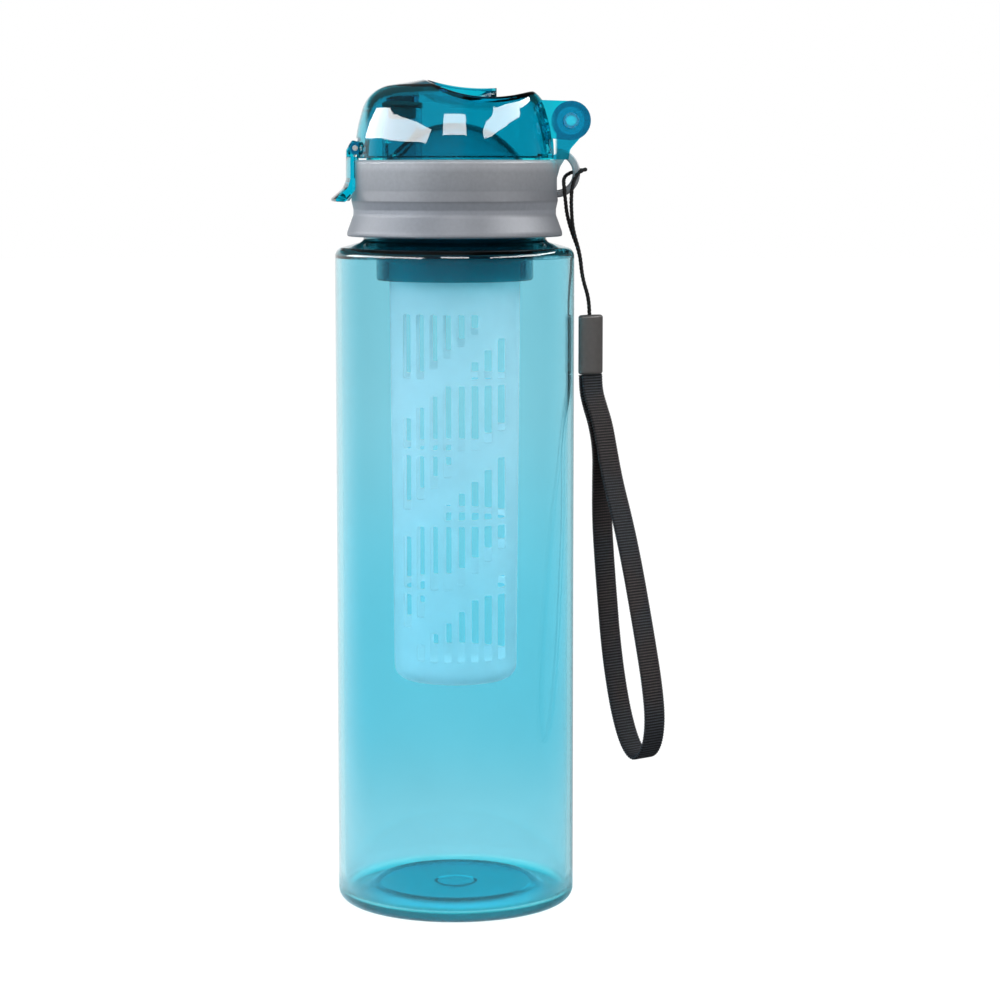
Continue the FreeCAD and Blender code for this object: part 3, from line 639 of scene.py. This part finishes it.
# Grip collar and carry loop: satin silver-grey plastic with a fine metallic grain.
# The collar is a sleeve over the core, and the loop is fixed to it under the hinge.
# Painted light and shade: the colour is lighter towards the top, in the groove and
# at the two lips, and darker on the bead.
SATIN = (0.148, 0.157, 0.177)
SATIN_TOP_LIGHT = (0.212, 0.22, 0.236)
TOP_LIGHT_FADE = (0.212, 0.2255)
GROOVE_LIGHT = 1.4
BEAD_SHADE = 0.86
LIP_LIGHT = 1.3
LIGHT_AND_SHADE_STEPS = (  # heights between which the painted light and shade change, and their levels there
    (0.2015, 0.2035, LIP_LIGHT, 1.0),
    (0.2085, 0.2098, 1.0, GROOVE_LIGHT),
    (0.2122, 0.2134, 1.0, BEAD_SHADE / GROOVE_LIGHT),
    (0.2158, 0.2168, 1.0, 1.0 / BEAD_SHADE),
    (0.2213, 0.2234, 1.0, LIP_LIGHT),
)
satin, tree, out, shader = new_finish("grey_satin")
marks = moulded(tree, shader, SATIN, shade=0.9, roughness=0.42, haze=0.1, scale=900.0, ripple=0.00001)
way = place_of(tree)
# Painted light and shade by height: lighter at the top, in the groove and at the lips, darker on the bead.
painted_tone = blend_colours(tree, ramp(tree, way["Z"], *TOP_LIGHT_FADE, 0.0, 1.0), SATIN, SATIN_TOP_LIGHT)
for step in LIGHT_AND_SHADE_STEPS:
    painted_tone = vector_maths(tree, "SCALE", painted_tone, scale=ramp(tree, way["Z"], *step))
link(tree, painted_tone, marks.inputs["Colour"])
shader.inputs["Metallic"].default_value = 0.08
link(tree, shader.outputs[0], out.inputs["Surface"])
dress("grip_collar", satin)
dress("carry_loop", satin)

# Latch pin: a short length of drawn steel wire, pressed through the lid's lugs;
# the latch turns on it.
steel, tree, out, shader = new_finish("steel")
moulded(
    tree, shader, (0.55, 0.56, 0.57), shade=0.85, roughness=0.25, haze=0.12, scale=1500.0, ripple=0.000005
)
shader.inputs["Metallic"].default_value = 1.0
link(tree, shader.outputs[0], out.inputs["Surface"])
dress("latch_pin", steel)

# Flip lid, hinge pin and latch: the same plastic in a deeper teal, moulded thick
# enough to be clicked shut with a thumb. The pin's heads sit in the ears, and are matt.
LID_TINT = (0.05, 0.56, 0.685)
PIN_ROUGHNESS = 0.3
teal = teal_plastic("clear_teal", LID_TINT)
dress("flip_lid", teal)
dress("hinge_pin", teal_plastic("pin_teal", LID_TINT, PIN_ROUGHNESS))
dress("front_latch", teal)

# Spout plug: silicone pressed into the lid's boss, dark partly as painted shade for
# the shade in the spout. Its round stem dips into the spout when the lid is shut, and
# seals it; the stem is turned from an outline.
STEM_X = -15.7
STEM_RADIUS = 4.15
STEM_LOW, STEM_HIGH = 237.6, 241.6
STEM_STEPS = 48
STEM_OUTLINE = (
    (0.0, STEM_LOW),
    (STEM_RADIUS - 0.6, STEM_LOW),
    (STEM_RADIUS - 0.15, STEM_LOW + 0.2),
    (STEM_RADIUS, STEM_LOW + 0.7),
    (STEM_RADIUS, STEM_HIGH),
    (0.0, STEM_HIGH),
)
# Painted shade in part: the silicone is made dark for the shade in the spout under the lid.
dark_silicone_and_shade, tree, out, shader = new_finish("dark_silicone_and_shade")
moulded(
    tree, shader, (0.012, 0.03, 0.035), shade=0.85, roughness=0.42, haze=0.12, scale=400.0, ripple=0.00002
)
link(tree, shader.outputs[0], out.inputs["Surface"])
dress("spout_plug", dark_silicone_and_shade)
turned = bmesh.new()
corners = [turned.verts.new(((STEM_X + r) * MM, 0.0, z * MM)) for r, z in STEM_OUTLINE]
edges = [turned.edges.new(pair) for pair in zip(corners, corners[1:])]
bmesh.ops.spin(
    turned,
    geom=corners + edges,
    cent=(STEM_X * MM, 0.0, 0.0),
    axis=(0.0, 0.0, 1.0),
    angle=2 * math.pi,
    steps=STEM_STEPS,
)
bmesh.ops.remove_doubles(turned, verts=turned.verts, dist=0.001 * MM)
bmesh.ops.recalc_face_normals(turned, faces=turned.faces)
stem_mesh = bpy.data.meshes.new("plug_stem")
turned.to_mesh(stem_mesh)
turned.free()
stem_mesh.materials.append(dark_silicone_and_shade)
plug_stem = placed_object("plug_stem", stem_mesh)
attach(plug_stem, "lid")

# Wrist cord: thin black cord of three twisted strands, doubled between the
# stopper and the carry loop, which it goes round once. Its route is listed,
# and a node tree lays the strands round it.
CORD_ROUTE = [
    (40.55, -0.8, 178.8), (40.55, -0.8, 183.3), (38.4, -0.8, 189.8), (37.6, -0.8, 197.6),
    (35.5, -1.1, 204.1), (35.0, -1.9, 210.1), (34.9, -2.8, 214.3), (35.3, -2.8, 217.9),
    (36.4, -2.8, 220.7), (37.92, -2.3, 222.0), (39.22, -1.3, 222.4), (39.22, 1.3, 222.3),
    (37.3, 2.9, 222.1), (35.3, 2.9, 221.6), (33.5, 1.7, 220.7), (32.7, -0.4, 219.5),
    (32.7, -2.4, 218.1), (32.9, -2.8, 215.7), (33.2, -2.6, 213.1), (33.6, -1.0, 209.3),
    (35.0, 0.5, 204.1), (37.6, 0.8, 197.6), (38.4, 0.8, 189.8), (40.55, 0.8, 183.3),
    (40.55, 0.8, 178.8),
]
STRANDS = 3
STRAND_SIDES = 7
STEPS_A_TWIST = 14
LINE_STEPS = 12  # between two points of a route


def smooth_line(name, route):
    """Points along the route's smooth spline, in metres, and a line mesh through them."""
    curve = bpy.data.curves.new(name, "CURVE")
    curve.dimensions = "3D"
    spline = curve.splines.new("NURBS")
    spline.points.add(len(route) - 1)
    for point, place in zip(spline.points, route):
        point.co = (place[0] * MM, place[1] * MM, place[2] * MM, 1.0)
    spline.order_u = 3
    spline.use_endpoint_u = True
    spline.resolution_u = LINE_STEPS
    carrier = bpy.data.objects.new(name, curve)
    line = bpy.data.meshes.new_from_object(carrier)
    bpy.data.objects.remove(carrier)
    return [tuple(v.co) for v in line.vertices], line


def stepped_line(tree, tree_in, step):
    """The start mesh's line as a curve with even steps."""
    as_curve = node_in(tree, "GeometryNodeMeshToCurve")
    link(tree, tree_in["Geometry"], as_curve.inputs[0])
    stepped = node_in(tree, "GeometryNodeResampleCurve", mode="LENGTH")
    link(tree, as_curve.outputs[0], stepped.inputs["Curve"])
    link(tree, step, stepped.inputs["Length"])
    return stepped.outputs[0]


tree, tree_in, tree_out = node_tree(
    "twisted_cord",
    {"Strand Radius": "Float", "Lay Radius": "Float", "Twist Pitch": "Float", "Material": "Material"},
)
cord_tree = tree
strands = node_in(tree, "GeometryNodeDuplicateElements", domain="SPLINE")
strands.inputs["Amount"].default_value = STRANDS
step = maths(tree, "DIVIDE", tree_in["Twist Pitch"], STEPS_A_TWIST)
link(tree, stepped_line(tree, tree_in, step), strands.inputs["Geometry"])
run = node_in(tree, "GeometryNodeSplineParameter").outputs["Length"]
turns = maths(tree, "DIVIDE", run, tree_in["Twist Pitch"])
share = maths(tree, "DIVIDE", strands.outputs["Duplicate Index"], STRANDS)
angle = maths(tree, "MULTIPLY", maths(tree, "ADD", turns, share), 2 * math.pi)
normal = node_in(tree, "GeometryNodeInputNormal").outputs[0]
tangent = node_in(tree, "GeometryNodeInputTangent").outputs[0]
binormal = vector_maths(tree, "CROSS_PRODUCT", tangent, normal)
one_way = vector_maths(tree, "SCALE", normal, scale=maths(tree, "COSINE", angle))
other_way = vector_maths(tree, "SCALE", binormal, scale=maths(tree, "SINE", angle))
sideways = vector_maths(tree, "ADD", one_way, other_way)
lay = vector_maths(tree, "SCALE", sideways, scale=tree_in["Lay Radius"])
laid = moved(tree, strands.outputs["Geometry"], lay)
strand = ring_section(tree, STRAND_SIDES, tree_in["Strand Radius"])
put_out(tree, swept(tree, laid, strand), tree_in, tree_out)


def dull_fibres(shader, sheen):
    """Yarn's weak gloss and the sheen of its loose fibres."""
    shader.inputs["Specular IOR Level"].default_value = 0.1
    shader.inputs["Sheen Weight"].default_value = sheen
    shader.inputs["Sheen Roughness"].default_value = 0.5


black_yarn, tree, out, shader = new_finish("black_cord")
moulded(
    tree, shader, (0.016, 0.015, 0.016), shade=0.6, roughness=0.62, haze=0.2, scale=2500.0, ripple=0.00006
)
dull_fibres(shader, sheen=0.03)
link(tree, shader.outputs[0], out.inputs["Surface"])

cord_path, cord_line = smooth_line("cord_line", CORD_ROUTE)
cord = grown(
    "twisted_cord",
    cord_line,
    cord_tree,
    {"Strand Radius": 0.00034, "Lay Radius": 0.00027, "Twist Pitch": 0.0036, "Material": black_yarn},
)
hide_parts("wrist_cord")
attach(cord, "cap")

# Cord stopper: dark plastic tube that joins the cord to the strap. It is pressed oval
# over the cord's and the strap's ends.
stopper_grey, tree, out, shader = new_finish("dark_stopper")
moulded(
    tree, shader, (0.06, 0.055, 0.053), shade=0.85, roughness=0.38, haze=0.15, scale=700.0, ripple=0.00002
)
link(tree, shader.outputs[0], out.inputs["Surface"])
dress("cord_stopper", stopper_grey)

# Wrist strap: flat black webbing, folded into a hand loop; its cross ribs are the
# weft under tight warp yarns. Their crests are painted lighter than the grooves, as
# painted highlight and shade, and the crests' tone changes at random. A node tree
# sweeps and ribs it along a route drawn in the loop's own plane.
STRAP_TOP = 160.9
STRAP_X = 40.95
STRAP_TURN = math.radians(51.0)
STRAP_ROUTE = [
    (-0.75, 0.0), (-0.75, -4.4), (0.95, -9.4), (3.75, -15.0), (5.65, -22.5), (5.55, -31.5),
    (5.5, -43.0), (6.7, -55.5), (8.2, -68.0), (9.8, -80.5), (12.2, -92.5), (15.4, -103.5),
    (19.4, -111.5), (24.2, -114.6), (28.6, -110.8), (30.2, -102.0), (28.6, -91.0),
    (25.6, -79.0), (22.4, -67.0), (19.0, -55.0), (15.0, -43.0), (10.6, -32.0),
    (7.95, -23.0), (5.65, -14.6), (2.75, -8.8), (0.75, -4.2), (0.75, 0.0),
]
STRAP_WIDTH = 0.008
STEPS_A_RIB = 4
EDGE_ROUNDING = 0.42  # of the thickness
SECTION_POINTS = 30
tree, tree_in, tree_out = node_tree(
    "ribbed_webbing",
    {
        "Width": "Float",
        "Thickness": "Float",
        "Rib Pitch": "Float",
        "Rib Height": "Float",
        "Across": "Vector",
        "Material": "Material",
    },
)
strap_tree = tree


def captured(tree, curve, label, value):
    """Curve that keeps a value at its points, and the value read later on."""
    made = node_in(tree, "GeometryNodeCaptureAttribute", domain="POINT")
    made.capture_items.new("FLOAT", label)
    link(tree, curve, made.inputs["Geometry"])
    link(tree, value, made.inputs[label])
    return made.outputs["Geometry"], made.outputs[label]


step = maths(tree, "DIVIDE", tree_in["Rib Pitch"], STEPS_A_RIB)
edged = node_in(tree, "GeometryNodeSetCurveNormal", mode="FREE")
link(tree, stepped_line(tree, tree_in, step), edged.inputs["Curve"])
link(tree, tree_in["Across"], edged.inputs["Normal"])
run = node_in(tree, "GeometryNodeSplineParameter").outputs
line, along = captured(tree, edged.outputs[0], "Along", run["Length"])
section = node_in(tree, "GeometryNodeCurvePrimitiveQuadrilateral")
link(tree, tree_in["Width"], section.inputs["Width"])
link(tree, tree_in["Thickness"], section.inputs["Height"])
soft_edge = node_in(tree, "GeometryNodeFilletCurve", mode="POLY")
soft_edge.inputs["Count"].default_value = 3
link(tree, section.outputs[0], soft_edge.inputs["Curve"])
link(tree, maths(tree, "MULTIPLY", tree_in["Thickness"], EDGE_ROUNDING), soft_edge.inputs["Radius"])
dense = node_in(tree, "GeometryNodeResampleCurve", mode="COUNT")
dense.inputs["Count"].default_value = SECTION_POINTS
link(tree, soft_edge.outputs[0], dense.inputs["Curve"])
profile, around_section = captured(tree, dense.outputs[0], "Round", run["Factor"])
ribs = maths(tree, "DIVIDE", along, tree_in["Rib Pitch"])
wave = maths(tree, "ABSOLUTE", maths(tree, "SINE", maths(tree, "MULTIPLY", ribs, math.pi)))
rise = maths(tree, "MULTIPLY", maths(tree, "SUBTRACT", wave, 1.0), tree_in["Rib Height"])
face_normal = node_in(tree, "GeometryNodeInputNormal").outputs[0]
ribbed = moved(tree, swept(tree, line, profile), vector_maths(tree, "SCALE", face_normal, scale=rise))
both = node_in(tree, "ShaderNodeCombineXYZ")
link(tree, around_section, both.inputs["X"])
link(tree, ribs, both.inputs["Y"])
kept = node_in(tree, "GeometryNodeStoreNamedAttribute", data_type="FLOAT_VECTOR", domain="POINT")
kept.inputs["Name"].default_value = "weave"
link(tree, ribbed, kept.inputs["Geometry"])
link(tree, both.outputs[0], kept.inputs["Value"])
put_out(tree, kept.outputs[0], tree_in, tree_out)

GROOVE = (0.003, 0.003, 0.004)
CREST_HIGHLIGHT = (0.046, 0.054, 0.066)
WORN_CREST_HIGHLIGHT = (0.064, 0.051, 0.051)
CREST_SHARPNESS = 3.0
YARNS = 22  # round the section
YARN_RELIEF, YARN_LEVEL = 0.25, 0.75
FADING_SCALE = 45.0
FADING_RANGE = (0.4, 0.6)
webbing, tree, out, shader = new_finish("black_webbing")
marks = moulded(
    tree, shader, GROOVE, shade=0.6, roughness=0.5, haze=0.15, scale=1800.0, ripple=0.00004
)
weave = tree.nodes.new("ShaderNodeAttribute")
weave.attribute_name = "weave"
rows = tree.nodes.new("ShaderNodeSeparateXYZ")
link(tree, weave.outputs["Vector"], rows.inputs[0])
# Painted highlight and shade: the rib crests are lighter and the grooves darker.
wave = maths(tree, "ABSOLUTE", maths(tree, "SINE", maths(tree, "MULTIPLY", rows.outputs["Y"], math.pi)))
crest = maths(tree, "POWER", wave, CREST_SHARPNESS)
yarn = maths(tree, "SINE", maths(tree, "MULTIPLY", rows.outputs["X"], YARNS * 2 * math.pi))
crest_highlight_mask = maths(tree, "MULTIPLY", crest, maths(tree, "MULTIPLY_ADD", yarn, YARN_RELIEF, YARN_LEVEL))
fading = tree.nodes.new("ShaderNodeTexNoise")
fading.inputs["Scale"].default_value = FADING_SCALE
link(tree, tree.nodes.new("ShaderNodeTexCoord").outputs["Object"], fading.inputs["Vector"])
faded = ramp(tree, fading.outputs["Fac"], *FADING_RANGE, 0.0, 1.0)
lighter = blend_colours(tree, faded, CREST_HIGHLIGHT, WORN_CREST_HIGHLIGHT)
link(tree, blend_colours(tree, crest_highlight_mask, GROOVE, lighter), marks.inputs["Colour"])
dull_fibres(shader, sheen=0.02)
link(tree, shader.outputs[0], out.inputs["Surface"])

out_x, out_y = math.cos(STRAP_TURN), -math.sin(STRAP_TURN)
strap_points = [(STRAP_X + s * out_x, s * out_y, STRAP_TOP + drop) for s, drop in STRAP_ROUTE]
strap_path, strap_line = smooth_line("strap_line", strap_points)
strap = grown(
    "webbing_strap",
    strap_line,
    strap_tree,
    {
        "Width": STRAP_WIDTH,
        "Thickness": 0.0011,
        "Rib Pitch": 0.00085,
        "Rib Height": 0.00026,
        "Across": (math.sin(STRAP_TURN), math.cos(STRAP_TURN), 0.0),
        "Material": webbing,
    },
)
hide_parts("wrist_strap")
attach(strap, "cap")
